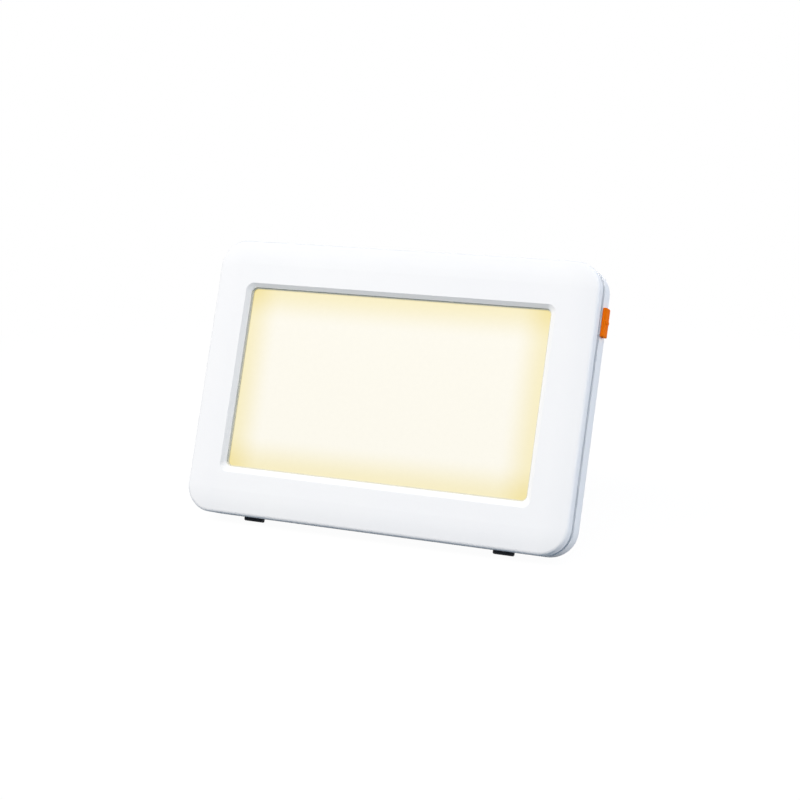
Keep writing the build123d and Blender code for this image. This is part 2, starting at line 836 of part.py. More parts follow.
rear_cover_screws = pan_screws(
    back_plane(cover_seat_depth),
    cover_screw_places,
    cover_head_radius,
    cover_head_height,
    cover_screw_radius,
    cover_screw_length,
)
rear_cover_screws.part.label = "rear_cover_screws"
export_step(rear_cover_screws.part, "parts/rear_cover_screws.step")

# ---------------------------------------------------------------- rubber feet


def rubber_foot(x):
    """A rounded block under the housing, cut level at its back where it stands on the table."""
    with BuildPart() as foot:
        with BuildSketch(under_plane(x).offset(-foot_seat)):
            RectangleRounded(foot_width, foot_length, foot_corner_radius)
        extrude(amount=foot_seat + foot_drop)
        chamfer(foot.faces().sort_by(down_axis)[-1].edges(), foot_chamfer)
        split(bisect_by=Plane.XY, keep=Keep.TOP)
    return foot


rubber_foot_left = rubber_foot(-foot_x)
rubber_foot_left.part.label = "rubber_foot_left"
export_step(rubber_foot_left.part, "parts/rubber_foot_left.step")

rubber_foot_right = rubber_foot(foot_x)
rubber_foot_right.part.label = "rubber_foot_right"
export_step(rubber_foot_right.part, "parts/rubber_foot_right.step")

# ---------------------------------------------------------------- fold-out stand

hinge_point = spot(0, hinge_rise, hinge_depth)
leg_side = Plane(origin=hinge_point, x_dir=leg_up, z_dir=across)
leg_face = Plane(origin=hinge_point, x_dir=across, z_dir=leg_side.y_dir)
hinge_height = hinge_point.Z


def table_reach(inward):
    """Distance down the leg at which it meets the table, at this place through its thickness."""
    return (hinge_height - inward * sin(radians(stand_lean))) / cos(radians(stand_lean))


pad_outer = pad_offset - pad_thickness / 2
pad_inner = pad_offset + pad_thickness / 2

with BuildPart() as stand_leg:
    toe_drop = sqrt(toe_round_radius**2 - (leg_length - toe_round_start) ** 2)
    toe_back = toe_round_rise - toe_drop
    middle = (leg_length + toe_round_start) / 2
    middle_back = toe_round_rise - sqrt(toe_round_radius**2 - (middle - toe_round_start) ** 2)
    with BuildSketch(leg_side):
        with BuildLine():
            ThreePointArc(
                (-toe_round_start, -leg_outer), (-middle, middle_back), (-leg_length, toe_back)
            )
            Polyline(
                (-leg_length, toe_back),
                (-leg_length, toe_inner),
                (-toe_step, toe_inner),
                (-toe_ramp, leg_inner),
                (0, leg_inner),
                (0, heel_thickness - leg_outer),
                (heel_length, heel_thickness - leg_outer),
                (heel_length, -leg_outer),
                (-toe_round_start, -leg_outer),
            )
        make_face()
        Circle(barrel_radius)
    extrude(amount=leg_half_width, both=True)
    with BuildSketch(leg_face.offset(-body_depth)):
        add(leg_plan(0))
    extrude(amount=2 * body_depth, mode=Mode.INTERSECT)
    # seats of the two hinge pins and of the foot pad
    for side in (-1, 1):
        with BuildSketch(leg_side.offset(side * leg_half_width)):
            Circle(pin_radius)
        extrude(amount=-side * pin_seat_length, mode=Mode.SUBTRACT)
    with BuildSketch(leg_side):
        with Locations((-leg_length + pad_seat / 2, pad_offset)):
            Rectangle(pad_seat, pad_thickness)
    extrude(amount=pad_half_width, both=True, mode=Mode.SUBTRACT)
stand_leg.part.label = "stand_leg"
export_step(stand_leg.part, "parts/stand_leg.step")

with BuildPart() as stand_foot_pad:
    with BuildSketch(leg_side):
        with BuildLine():
            Polyline(
                (-leg_length + pad_seat, pad_outer),
                (-leg_length + pad_seat, pad_inner),
                (-table_reach(pad_inner), pad_inner),
                (-table_reach(pad_outer), pad_outer),
                close=True,
            )
        make_face()
    extrude(amount=pad_half_width, both=True)
stand_foot_pad.part.label = "stand_foot_pad"
export_step(stand_foot_pad.part, "parts/stand_foot_pad.step")


def hinge_pin(side):
    """A plain steel pin from inside the housing through the hinge boss into the leg."""
    inner_end = leg_half_width - pin_seat_length
    outer_end = leg_half_width + leg_side_gap + hinge_boss_length + pin_overhang
    with BuildPart() as pin:
        with BuildSketch(leg_side.offset(side * inner_end)):
            Circle(pin_radius)
        extrude(amount=side * (outer_end - inner_end))
        chamfer(pin.edges().filter_by(GeomType.CIRCLE).sort_by(Axis.X)[0], pin_chamfer)
        chamfer(pin.edges().filter_by(GeomType.CIRCLE).sort_by(Axis.X)[-1], pin_chamfer)
    return pin


hinge_pin_left = hinge_pin(-1)
hinge_pin_left.part.label = "hinge_pin_left"
export_step(hinge_pin_left.part, "parts/hinge_pin_left.step")

hinge_pin_right = hinge_pin(1)
hinge_pin_right.part.label = "hinge_pin_right"
export_step(hinge_pin_right.part, "parts/hinge_pin_right.step")

with BuildPart() as hinge_washers:
    for side in (-1, 1):
        with BuildSketch(leg_side.offset(side * leg_half_width)):
            Circle(washer_radius)
            Circle(pin_radius, mode=Mode.SUBTRACT)
        extrude(amount=side * washer_thickness)
hinge_washers.part.label = "hinge_washers"
export_step(hinge_washers.part, "parts/hinge_washers.step")

# ---------------------------------------------------------------- slide switch

inner_face = half_width - wall
slider_face = inner_face - slider_gap
socket_face = slider_face - slider_thickness - socket_reach
switch_top = switch_board_face + switch_height

with BuildPart() as switch_knob:
    with BuildSketch(side_plane(half_width + knob_gap, knob_rise, switch_depth)):
        RectangleRounded(knob_length, knob_width, knob_corner_radius)
    extrude(amount=knob_proud - knob_gap)
    fillet(switch_knob.edges().group_by(Axis.X)[-1], knob_edge_radius)
    with BuildSketch(side_plane(half_width + knob_gap, knob_rise, switch_depth)):
        RectangleRounded(ridge_length, ridge_width, ridge_length * 0.45)
    extrude(amount=knob_proud - knob_gap + ridge_height)
    fillet(switch_knob.edges().group_by(Axis.X)[-1], ridge_height * 0.8)
    with BuildSketch(side_plane(slider_face, knob_rise, switch_depth)):
        Rectangle(stem_length, stem_width)
    extrude(amount=half_width + knob_gap - slider_face)
    with BuildSketch(side_plane(slider_face, knob_rise, switch_depth + slider_shift)):
        Rectangle(slider_length, slider_width)
    extrude(amount=-slider_thickness)
    with BuildSketch(side_plane(socket_face, knob_rise, switch_depth)):
        Rectangle(socket_length, socket_width)
    extrude(amount=socket_reach)
    with BuildSketch(side_plane(socket_face, knob_rise, switch_depth)):
        Rectangle(lever_length + 2 * lever_clearance, lever_width + 2 * lever_clearance)
    extrude(amount=socket_reach - socket_roof, mode=Mode.SUBTRACT)
switch_knob.part.label = "switch_knob"
export_step(switch_knob.part, "parts/switch_knob.step")

with BuildPart() as switch_actuator:
    with BuildSketch(side_plane(switch_board_face + switch_floor + carriage_gap, knob_rise, switch_depth)):
        Rectangle(carriage_length, carriage_width)
    extrude(amount=carriage_height)
    with BuildSketch(side_plane(switch_top - carriage_gap, knob_rise, switch_depth)):
        Rectangle(lever_length, lever_width)
    extrude(amount=lever_height)
    with BuildSketch(
        side_plane(switch_board_face + switch_floor + carriage_gap, knob_rise, switch_depth)
    ):
        Rectangle(lever_length, lever_width)
    extrude(amount=carriage_height + carriage_gap)
switch_actuator.part.label = "switch_actuator"
export_step(switch_actuator.part, "parts/switch_actuator.step")

with BuildPart() as switch_body:
    with BuildSketch(side_plane(switch_board_face, switch_rise, switch_depth)):
        Rectangle(switch_length, switch_width)
    extrude(amount=switch_height)
    cavity_length = carriage_length + switch_travel + 2 * hole_clearance
    with BuildSketch(side_plane(switch_top, switch_rise, switch_depth)):
        Rectangle(cavity_length, carriage_width + 2 * carriage_gap)
    extrude(amount=switch_floor - switch_height, mode=Mode.SUBTRACT)
switch_body.part.label = "switch_body"
export_step(switch_body.part, "parts/switch_body.step")

with BuildPart() as switch_cover_plate:
    with BuildSketch(side_plane(switch_top, switch_rise, switch_depth)):
        Rectangle(switch_length, switch_width)
        Rectangle(
            lever_length + switch_travel + 2 * hole_clearance,
            lever_width + 2 * hole_clearance,
            mode=Mode.SUBTRACT,
        )
    extrude(amount=switch_plate)
switch_cover_plate.part.label = "switch_cover_plate"
export_step(switch_cover_plate.part, "parts/switch_cover_plate.step")

board_back = switch_board_face - switch_board_thickness

with BuildPart() as switch_board:
    with BuildSketch(side_plane(board_back, switch_rise, switch_depth + switch_board_shift)):
        Rectangle(switch_board_length, switch_board_width)
    extrude(amount=switch_board_thickness)
    with BuildSketch(side_plane(board_back, switch_rise, switch_depth)):
        with GridLocations(terminal_pitch, 0, 3, 1):
            Rectangle(terminal_width, terminal_width)
    extrude(amount=switch_board_thickness, mode=Mode.SUBTRACT)
switch_board.part.label = "switch_board"
export_step(switch_board.part, "parts/switch_board.step")

with BuildPart() as switch_terminals:
    with BuildSketch(side_plane(switch_board_face, switch_rise, switch_depth)):
        with GridLocations(terminal_pitch, 0, 3, 1):
            Rectangle(terminal_width, terminal_width)
    extrude(amount=-switch_board_thickness - terminal_reach)
switch_terminals.part.label = "switch_terminals"
export_step(switch_terminals.part, "parts/switch_terminals.step")

# ---------------------------------------------------------------- driver board

with BuildPart() as driver_board:
    with BuildSketch(face_plane(driver_back_depth, driver_x, driver_y)):
        RectangleRounded(driver_width, driver_height, 1.5)
        with Locations(*driver_screw_places):
            Circle(small_screw_radius + hole_clearance, mode=Mode.SUBTRACT)
    extrude(amount=driver_thickness)
driver_board.part.label = "driver_board"
export_step(driver_board.part, "parts/driver_board.step")

driver_board_screws = pan_screws(
    face_plane(driver_front_depth, driver_x, driver_y),
    driver_screw_places,
    small_head_radius,
    small_head_height,
    small_screw_radius,
    driver_screw_length,
)
driver_board_screws.part.label = "driver_board_screws"
export_step(driver_board_screws.part, "parts/driver_board_screws.step")

driver_face = face_plane(driver_front_depth, driver_x, driver_y)

with BuildPart() as driver_inductor:
    with BuildSketch(driver_face):
        with Locations((-driver_width / 4, driver_height / 10)):
            RectangleRounded(inductor_size, inductor_size, inductor_size / 5)
    extrude(amount=inductor_height)
    chamfer(driver_inductor.edges().group_by(out_axis)[-1], inductor_size / 20)
driver_inductor.part.label = "driver_inductor"
export_step(driver_inductor.part, "parts/driver_inductor.step")

with BuildPart() as driver_capacitors:
    with BuildSketch(driver_face):
        with Locations((driver_width / 8, driver_height / 3)):
            with GridLocations(capacitor_pitch, 0, 2, 1):
                Circle(capacitor_radius)
    extrude(amount=capacitor_height)
    chamfer(driver_capacitors.edges().group_by(out_axis)[-1], capacitor_radius / 10)
driver_capacitors.part.label = "driver_capacitors"
export_step(driver_capacitors.part, "parts/driver_capacitors.step")

with BuildPart() as driver_chip:
    with BuildSketch(driver_face):
        with Locations((driver_width / 12, 0)):
            Rectangle(chip_width, chip_length)
    extrude(amount=chip_height)
driver_chip.part.label = "driver_chip"
export_step(driver_chip.part, "parts/driver_chip.step")

with BuildPart() as driver_diode:
    with BuildSketch(driver_face):
        with Locations((-driver_width / 4, -driver_height / 8)):
            Rectangle(diode_length, diode_width)
    extrude(amount=diode_height)
driver_diode.part.label = "driver_diode"
export_step(driver_diode.part, "parts/driver_diode.step")

with BuildPart() as driver_connectors:
    with BuildSketch(driver_face):
        with Locations((driver_width / 2 - connector_length / 2, input_rise)):
            Rectangle(connector_length, connector_width)
        with Locations((output_shift, -output_drop)):
            Rectangle(connector_width, connector_length)
    extrude(amount=connector_height)
driver_connectors.part.label = "driver_connectors"
export_step(driver_connectors.part, "parts/driver_connectors.step")

# ---------------------------------------------------------------- DC inlet

jack_back_depth = body_depth - jack_recess
jack_front_depth = jack_back_depth - jack_length
jack_mouth_depth = jack_back_depth + jack_flange_thickness
jack_floor_depth = jack_mouth_depth - jack_bore_length

with BuildPart() as dc_jack:
    with BuildSketch(face_plane(jack_back_depth, jack_x, jack_y)):
        Circle(jack_radius)
    extrude(amount=jack_length)
    with BuildSketch(face_plane(jack_mouth_depth, jack_x, jack_y)):
        Circle(jack_flange_radius)
    extrude(amount=jack_flange_thickness)
    with BuildSketch(face_plane(jack_mouth_depth, jack_x, jack_y)):
        Circle(jack_bore_radius)
    extrude(amount=jack_bore_length, mode=Mode.SUBTRACT)
    with BuildSketch(face_plane(jack_floor_depth, jack_x, jack_y)):
        Circle(jack_pin_base_radius)
    extrude(amount=jack_floor_depth - jack_front_depth, mode=Mode.SUBTRACT)
dc_jack.part.label = "dc_jack"
export_step(dc_jack.part, "parts/dc_jack.step")

with BuildPart() as dc_jack_pin:
    with BuildSketch(face_plane(jack_floor_depth, jack_x, jack_y)):
        Circle(jack_pin_base_radius)
    extrude(amount=jack_floor_depth - jack_front_depth)
    with BuildSketch(face_plane(jack_floor_depth, jack_x, jack_y)):
        Circle(jack_pin_radius)
    extrude(amount=-jack_pin_length)
    chamfer(dc_jack_pin.edges().group_by(out_axis)[0], jack_pin_chamfer)
dc_jack_pin.part.label = "dc_jack_pin"
export_step(dc_jack_pin.part, "parts/dc_jack_pin.step")

with BuildPart() as dc_jack_nut:
    with BuildSketch(face_plane(inner_depth, jack_x, jack_y)):
        RegularPolygon(jack_nut_width / 2, 6, major_radius=False)
        Circle(jack_radius, mode=Mode.SUBTRACT)
    extrude(amount=jack_nut_thickness)
dc_jack_nut.part.label = "dc_jack_nut"
export_step(dc_jack_nut.part, "parts/dc_jack_nut.step")

with BuildPart() as dc_jack_lugs:
    with BuildSketch(face_plane(jack_front_depth, jack_x, jack_y)):
        with Locations((lug_spread, 0), (-lug_spread, 0)):
            Rectangle(lug_width, lug_thickness)
    extrude(amount=lug_length)
dc_jack_lugs.part.label = "dc_jack_lugs"
export_step(dc_jack_lugs.part, "parts/dc_jack_lugs.step")

# ---------------------------------------------------------------- leads inside the housing

lug_top = jack_y + lug_thickness / 2
lug_middle_depth = jack_front_depth - 2 * lug_length / 3
terminal_x = board_back - 0.65 * terminal_reach
lead_depth = driver_front_depth - connector_height / 2
input_edge = driver_x + driver_width / 2
input_line = driver_y + input_rise

lead_run = switch_rise - jack_y

lead_jack_to_switch = lead(
    [
        (jack_x + lug_spread, lug_top, lug_middle_depth),
        (
            jack_x + lug_spread + lead_radius,
            jack_y + 0.35 * lead_run,
            lug_middle_depth - 2 * lead_radius,
        ),
        (jack_x - lead_radius, jack_y + 0.66 * lead_run, holder_front_depth - 6.5 * lead_radius),
        (terminal_x, switch_rise - holder_rise - holder_length, switch_depth - lead_radius),
        (terminal_x, switch_rise - terminal_pitch - terminal_width / 2, switch_depth),
    ]
)
lead_jack_to_switch.part.label = "lead_jack_to_switch"
export_step(lead_jack_to_switch.part, "parts/lead_jack_to_switch.step")

lead_switch_to_driver = lead(
    [
        (terminal_x, switch_rise, switch_depth + terminal_width / 2),
        (terminal_x, switch_rise, lead_depth + 3.3 * lead_radius),
        (
            half_width - back_edge_radius,
            switch_rise - 0.2 * lead_run,
            lead_depth + 2.2 * lead_radius,
        ),
        (half_width - back_edge_radius - 2 * lead_radius, input_line + contact_pitch, lead_depth),
        (input_edge, input_line + contact_pitch, lead_depth),
    ]
)
lead_switch_to_driver.part.label = "lead_switch_to_driver"
export_step(lead_switch_to_driver.part, "parts/lead_switch_to_driver.step")

lead_jack_to_driver = lead(
    [
        (jack_x - lug_spread, lug_top, lug_middle_depth),
        (jack_x - lug_spread, jack_y + 0.16 * lead_run, lug_middle_depth),
        (jack_x, jack_y + 0.26 * lead_run, lead_depth - 2 * lead_radius),
        (jack_x, input_line - contact_pitch, lead_depth),
        (input_edge, input_line - contact_pitch, lead_depth),
    ]
)
lead_jack_to_driver.part.label = "lead_jack_to_driver"
export_step(lead_jack_to_driver.part, "parts/lead_jack_to_driver.step")

output_edge = driver_y - output_drop - connector_length / 2

lead_to_leds_plus = lead(
    [
        (led_lead_x - contact_pitch, output_edge, lead_depth + lead_radius),
        (led_lead_x - contact_pitch, led_lead_y, lead_depth + lead_radius),
        (led_lead_x - contact_pitch, led_lead_y, tray_floor_depth),
    ]
)
lead_to_leds_plus.part.label = "lead_to_leds_plus"
export_step(lead_to_leds_plus.part, "parts/lead_to_leds_plus.step")

lead_to_leds_minus = lead(
    [
        (led_lead_x + contact_pitch, output_edge, lead_depth + lead_radius),
        (led_lead_x + contact_pitch, led_lead_y, lead_depth + lead_radius),
        (led_lead_x + contact_pitch, led_lead_y, tray_floor_depth),
    ]
)
lead_to_leds_minus.part.label = "lead_to_leds_minus"
export_step(lead_to_leds_minus.part, "parts/lead_to_leds_minus.step")
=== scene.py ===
"""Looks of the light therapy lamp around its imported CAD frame: materials, light and camera."""

import math

import bpy
from mathutils import Matrix, Vector


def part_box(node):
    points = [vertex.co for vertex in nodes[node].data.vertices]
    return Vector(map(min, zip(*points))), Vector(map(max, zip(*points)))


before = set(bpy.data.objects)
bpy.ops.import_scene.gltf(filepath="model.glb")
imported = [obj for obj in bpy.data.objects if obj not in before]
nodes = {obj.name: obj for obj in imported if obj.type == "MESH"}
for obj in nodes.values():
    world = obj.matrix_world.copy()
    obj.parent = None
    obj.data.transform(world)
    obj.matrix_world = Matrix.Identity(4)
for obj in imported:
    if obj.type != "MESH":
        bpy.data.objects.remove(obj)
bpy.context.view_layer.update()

MM = 0.001

# The lamp's own directions: across the face, up the face and out of it.
LEAN = math.radians(20.0)
ACROSS = Vector((1, 0, 0))
UP = Vector((0, math.sin(LEAN), math.cos(LEAN)))
OUT = Vector((0, -math.cos(LEAN), math.sin(LEAN)))

# The window's middle in the plane of the face, from the lit panel's plate behind it.
PANEL_DEPTH = 3.4 * MM  # from the face to the plate's front
PANEL_THICKNESS = 2.0 * MM
panel_low, panel_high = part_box("diffuser_panel")
PANEL_CENTRE = (Vector(panel_low) + Vector(panel_high)) / 2
WINDOW_CENTRE = PANEL_CENTRE + OUT * (PANEL_DEPTH + PANEL_THICKNESS / 2)

# ---------------------------------------------------------------- camera

# The camera's place is measured from a point of the face just beside the window's middle.
AIM_SHIFT = 0.85 * MM
AIM_RISE = 0.05 * MM
AIM = WINDOW_CENTRE + ACROSS * AIM_SHIFT + UP * AIM_RISE

# From there it goes along its own axes: to its right, down and back.
AZIMUTH = math.radians(24.09)
ELEVATION = math.radians(12.85)
SIDE_OFFSET = 7.78 * MM
RISE_OFFSET = -5.14 * MM
DISTANCE = 828.95 * MM

FOCAL_PIXELS = 1726.56
FRAME_PIXELS = 800
SENSOR = 36.0
CLIP_START = 10 * MM

back = Vector(
    (
        math.sin(AZIMUTH) * math.cos(ELEVATION),
        -math.cos(AZIMUTH) * math.cos(ELEVATION),
        math.sin(ELEVATION),
    )
)
right = (-back).cross(Vector((0, 0, 1))).normalized()
above = right.cross(-back)

camera_data = bpy.data.cameras.new("camera")
camera_data.sensor_width = SENSOR
camera_data.lens = FOCAL_PIXELS / FRAME_PIXELS * SENSOR
camera_data.clip_start = CLIP_START
camera_data.dof.use_dof = False
camera = bpy.data.objects.new("camera", camera_data)
bpy.context.scene.collection.objects.link(camera)
camera_place = AIM + right * SIDE_OFFSET + above * RISE_OFFSET + back * DISTANCE
camera_turn = Matrix((right, above, back)).transposed().to_4x4()
camera.matrix_world = Matrix.Translation(camera_place) @ camera_turn
bpy.context.scene.camera = camera

# ---------------------------------------------------------------- material helpers

# Most of a noise texture's values lie between these.
NOISE_LOW = 0.3
NOISE_HIGH = 0.7

# Places of the colour sockets in a mix node.
MIX_SHARE = 0
MIX_FIRST = 6
MIX_SECOND = 7
MIX_COLOUR = 2


def srgb(r, g, b):
    """Linear colour of an 8-bit sRGB colour."""

    def one(value):
        value /= 255
        return value / 12.92 if value <= 0.04045 else ((value + 0.055) / 1.055) ** 2.4

    return (one(r), one(g), one(b), 1.0)


def grey(level):
    """Neutral linear colour."""
    return (level, level, level, 1.0)


class Shader:
    """A material with a principled shader, and short ways to add and link its nodes."""

    def __init__(self, name):
        self.material = bpy.data.materials.new(name)
        self.material.use_nodes = True
        self.tree = self.material.node_tree
        self.bsdf = self.tree.nodes["Principled BSDF"]
        self.place = self.node("ShaderNodeTexCoord").outputs["Object"]

    def node(self, kind, **settings):
        made = self.tree.nodes.new(kind)
        for key, value in settings.items():
            setattr(made, key, value)
        return made

    def link(self, source, target):
        self.tree.links.new(source, target)

    def set(self, **values):
        """Set the principled shader's sockets, with underscores for the spaces in their names."""
        for key, value in values.items():
            self.bsdf.inputs[key.replace("_", " ")].default_value = value

    def noise(self, scale, detail=3.0, roughness=0.5, stretch=None):
        """Noise in the object's own space; a stretch below 1 draws it out along that axis."""
        made = self.node("ShaderNodeTexNoise")
        made.inputs["Scale"].default_value = scale
        made.inputs["Detail"].default_value = detail
        made.inputs["Roughness"].default_value = roughness
        source = self.place
        if stretch:
            mapping = self.node("ShaderNodeMapping")
            mapping.inputs["Scale"].default_value = stretch
            self.link(self.place, mapping.inputs["Vector"])
            source = mapping.outputs["Vector"]
        self.link(source, made.inputs["Vector"])
        return made.outputs["Fac"]

    def along(self, direction, origin=(0, 0, 0)):
        """Distance along a direction from an origin, in metres."""
        shift = self.node("ShaderNodeVectorMath", operation="SUBTRACT")
        shift.inputs[1].default_value = origin
        self.link(self.place, shift.inputs[0])
        dot = self.node("ShaderNodeVectorMath", operation="DOT_PRODUCT")
        dot.inputs[1].default_value = direction
        self.link(shift.outputs[0], dot.inputs[0])
        return dot.outputs["Value"]

    def math(self, operation, *values):
        """Outcome of a math node; each value is a number or another node's output."""
        made = self.node("ShaderNodeMath", operation=operation)
        for socket, value in zip(made.inputs, values):
            if isinstance(value, (int, float)):
                socket.default_value = value
            else:
                self.link(value, socket)
        return made.outputs[0]

    def spread(self, source, low, high, start=NOISE_LOW, end=NOISE_HIGH):
        """A value that goes from low to high while its source goes from start to end."""
        made = self.node("ShaderNodeMapRange")
        made.inputs["From Min"].default_value = start
        made.inputs["From Max"].default_value = end
        made.inputs["To Min"].default_value = low
        made.inputs["To Max"].default_value = high
        self.link(source, made.inputs["Value"])
        return made.outputs["Result"]

    def tint(self, source, first, second):
        """A colour that goes from first to second while its source goes from 0 to 1."""
        made = self.node("ShaderNodeMix", data_type="RGBA")
        for place, value in ((MIX_FIRST, first), (MIX_SECOND, second)):
            if isinstance(value, tuple):
                made.inputs[place].default_value = value
            else:
                self.link(value, made.inputs[place])
        self.link(source, made.inputs[MIX_SHARE])
        return made.outputs[MIX_COLOUR]

    def mottle(self, noise, colour, shade):
        """A colour that drifts to a shade of it with a noise."""
        return self.tint(self.spread(noise, low=0.0, high=1.0), colour, shade)

    def paint(self, colour):
        """Give the surface its colour."""
        self.link(colour, self.bsdf.inputs["Base Color"])

    def polish(self, noise, low, high):
        """Let the surface's roughness drift between two values with a noise."""
        self.link(self.spread(noise, low, high), self.bsdf.inputs["Roughness"])

    def bump(self, source, distance, strength):
        """Roughen the surface by a source's height."""
        made = self.node("ShaderNodeBump")
        made.inputs["Strength"].default_value = strength
        made.inputs["Distance"].default_value = distance
        self.link(source, made.inputs["Height"])
        self.link(made.outputs["Normal"], self.bsdf.inputs["Normal"])


# ---------------------------------------------------------------- kinds of material

# The seam's floor lies between these depths behind the face, and is a little darker: painted shade
# in the gap between frame and cover.
SEAM_START = 8.55 * MM
SEAM_END = 9.65 * MM
SEAM_PAINTED_SHADE = (0.84, 0.84, 0.85, 1.0)

# How far a gloss drifts to either side of its plain value.
PLASTIC_DRIFT = 0.05
RUBBER_DRIFT = 0.06
METAL_BRIGHTER = 0.08
METAL_DULLER = 0.1
BOARD_GLOSS = (0.28, 0.42)


def moulded(name, colour, shade, roughness, grain=0.012 * MM, specular=0.5, painted_seam_shade=False):
    """Moulded plastic: fine eroded grain, slight tone drift and uneven gloss, and on request
    painted shade on the seam's floor.
    """
    made = Shader(name)
    surface = made.mottle(made.noise(scale=22.0, detail=4.0), colour, shade)
    # Painted shade: the seam's floor between frame and cover gets a darker colour.
    if painted_seam_shade:
        depth = made.along(-OUT, WINDOW_CENTRE)
        behind_start = made.math("GREATER_THAN", depth, SEAM_START)
        before_end = made.math("LESS_THAN", depth, SEAM_END)
        surface = made.tint(made.math("MULTIPLY", behind_start, before_end), surface, SEAM_PAINTED_SHADE)
    made.paint(surface)
    patches = made.noise(scale=140.0, detail=5.0, roughness=0.6)
    made.polish(patches, roughness - PLASTIC_DRIFT, roughness + PLASTIC_DRIFT)
    made.bump(made.noise(scale=900.0, detail=4.0, roughness=0.6), distance=grain, strength=0.35)
    made.set(Specular_IOR_Level=specular)
    return made.material


def metal(name, colour, shade, roughness, stretch):
    """Drawn or turned metal: fine lines, drawn out by the stretch, and duller patches."""
    made = Shader(name)
    lines = made.noise(scale=2500.0, roughness=0.6, stretch=stretch)
    made.paint(made.mottle(lines, colour, shade))
    patches = made.noise(scale=700.0, detail=4.0)
    made.polish(patches, roughness - METAL_BRIGHTER, roughness + METAL_DULLER)
    made.bump(lines, distance=0.004 * MM, strength=0.4)
    made.set(Metallic=1.0)
    return made.material


def board(name, mask, copper, gap):
    """A circuit board: solder mask over copper areas that show as a slightly other tone."""
    made = Shader(name)
    cells = made.node("ShaderNodeTexBrick", offset=0.35, squash=1.7, squash_frequency=3)
    cells.inputs["Scale"].default_value = 90.0
    cells.inputs["Mortar Size"].default_value = 0.02
    cells.inputs["Mortar Smooth"].default_value = 0.1
    cells.inputs["Color1"].default_value = mask
    cells.inputs["Color2"].default_value = copper
    cells.inputs["Mortar"].default_value = gap
    flat = made.node("ShaderNodeCombineXYZ")
    made.link(made.along(ACROSS), flat.inputs[0])
    made.link(made.along(UP), flat.inputs[1])
    made.link(flat.outputs[0], cells.inputs["Vector"])
    made.paint(cells.outputs["Color"])
    made.polish(made.noise(scale=400.0), *BOARD_GLOSS)
    made.bump(cells.outputs["Fac"], distance=0.02 * MM, strength=0.5)
    return made.material


def rubber(name, colour, shade, roughness):
    """Soft rubber or wire insulation: finely pitted, with dusty patches of another tone."""
    made = Shader(name)
    dust = made.noise(scale=260.0, detail=5.0, roughness=0.65)
    made.paint(made.mottle(dust, colour, shade))
    made.polish(made.noise(scale=900.0), roughness - RUBBER_DRIFT, roughness + RUBBER_DRIFT)
    made.bump(made.noise(scale=2200.0), distance=0.02 * MM, strength=0.5)
    made.set(Specular_IOR_Level=0.35)
    return made.material


def foam(name, colour, shade):
    """Closed-cell foam: small cells and a matt skin."""
    made = Shader(name)
    cells = made.node("ShaderNodeTexVoronoi")
    cells.inputs["Scale"].default_value = 3000.0
    made.link(made.place, cells.inputs["Vector"])
    made.paint(made.tint(cells.outputs["Distance"], colour, shade))
    made.bump(cells.outputs["Distance"], distance=0.03 * MM, strength=0.6)
    made.set(Roughness=0.9, Specular_IOR_Level=0.2)
    return made.material


# ---------------------------------------------------------------- the lit panel and its LEDs

WINDOW_HALF = Vector((79.3, 45.3)) * MM  # half the window's width and height
GLOW_BAND = 17.5 * MM  # the glow fades within this band along the window's edge
GLOW_MIDDLE = (0.958, 0.930, 0.841)
GLOW_LOSS = (0.05, 0.106, 0.343)  # share of red, green and blue that is lost at the edge
PANEL_LIT_BY_ROOM = 0.155  # how much of that glow the light falling on the panel gives
PANEL_GREY = (0.14, 0.14, 0.135, 1)
PANEL_GREY_SHADE = (0.15, 0.15, 0.145, 1)


def lit_panel():
    """Opal panel lit from behind: warm white, yellower and dimmer towards its edges."""
    made = Shader("lit_panel")
    side = made.math("ABSOLUTE", made.along(ACROSS, WINDOW_CENTRE))
    rise = made.math("ABSOLUTE", made.along(UP, WINDOW_CENTRE))
    fades = []
    for distance, half in ((side, WINDOW_HALF.x), (rise, WINDOW_HALF.y)):
        fade = made.spread(distance, low=0.0, high=1.0, start=half - GLOW_BAND, end=half)
        fade.node.interpolation_type = "SMOOTHSTEP"
        fades.append(fade)
    glow = made.node("ShaderNodeCombineColor")
    for socket, middle, loss in zip(glow.inputs, GLOW_MIDDLE, GLOW_LOSS):
        level = middle
        for fade in fades:
            kept = made.math("SUBTRACT", 1.0, made.math("MULTIPLY", fade, loss))
            level = made.math("MULTIPLY", kept, level)
        made.link(made.math("SUBTRACT", level, PANEL_LIT_BY_ROOM), socket)
    made.link(glow.outputs[0], made.bsdf.inputs["Emission Color"])
    made.paint(made.mottle(made.noise(scale=500.0), PANEL_GREY, PANEL_GREY_SHADE))
    made.bump(made.noise(scale=1600.0), distance=0.01 * MM, strength=0.3)
    made.set(Roughness=0.45, Emission_Strength=1.0, Specular_IOR_Level=0.3)
    return made.material


def led_package():
    """A lit LED: yellow phosphor that fills its package."""
    made = Shader("led_package")
    grain = made.noise(scale=1800.0, detail=4.0)
    made.paint(made.mottle(grain, srgb(246, 222, 108), srgb(238, 206, 84)))
    made.bump(grain, distance=0.02 * MM, strength=0.4)
    made.set(Roughness=0.3, Emission_Color=(1.0, 0.86, 0.55, 1), Emission_Strength=1.2)
    return made.material


# ---------------------------------------------------------------- materials

